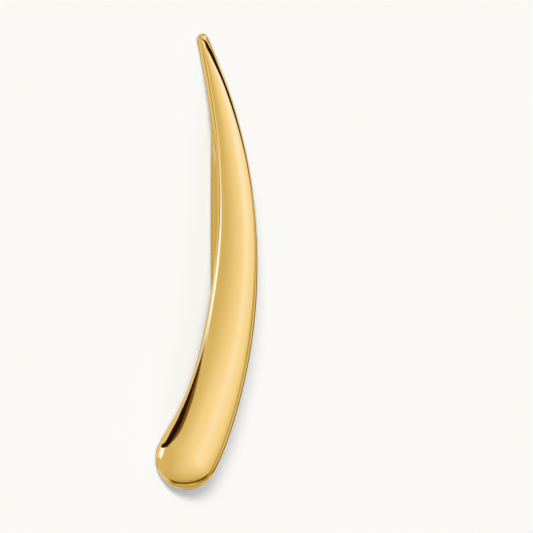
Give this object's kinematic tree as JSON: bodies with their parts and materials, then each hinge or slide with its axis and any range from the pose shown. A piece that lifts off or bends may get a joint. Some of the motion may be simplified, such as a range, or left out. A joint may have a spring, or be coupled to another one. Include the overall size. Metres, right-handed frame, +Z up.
{
  "type": "ear climber",
  "caption": "Curved, drop-shaped polished bar with a flat back, and a bent ear wire soldered behind it that goes through the lobe.",
  "frame": {"origin": "on the surface that it rests on, under the middle of its bounding box", "axes": "+X along the bar towards its round end, -Y the side that the domed front faces, +Z up from the surface"},
  "size_m": [0.0272, 0.0064, 0.0051],
  "materials": {
    "gold": "high-polish yellow gold"
  },
  "bodies": {
    "root": {"ear_climber": "gold"}
  },
  "joints": []
}
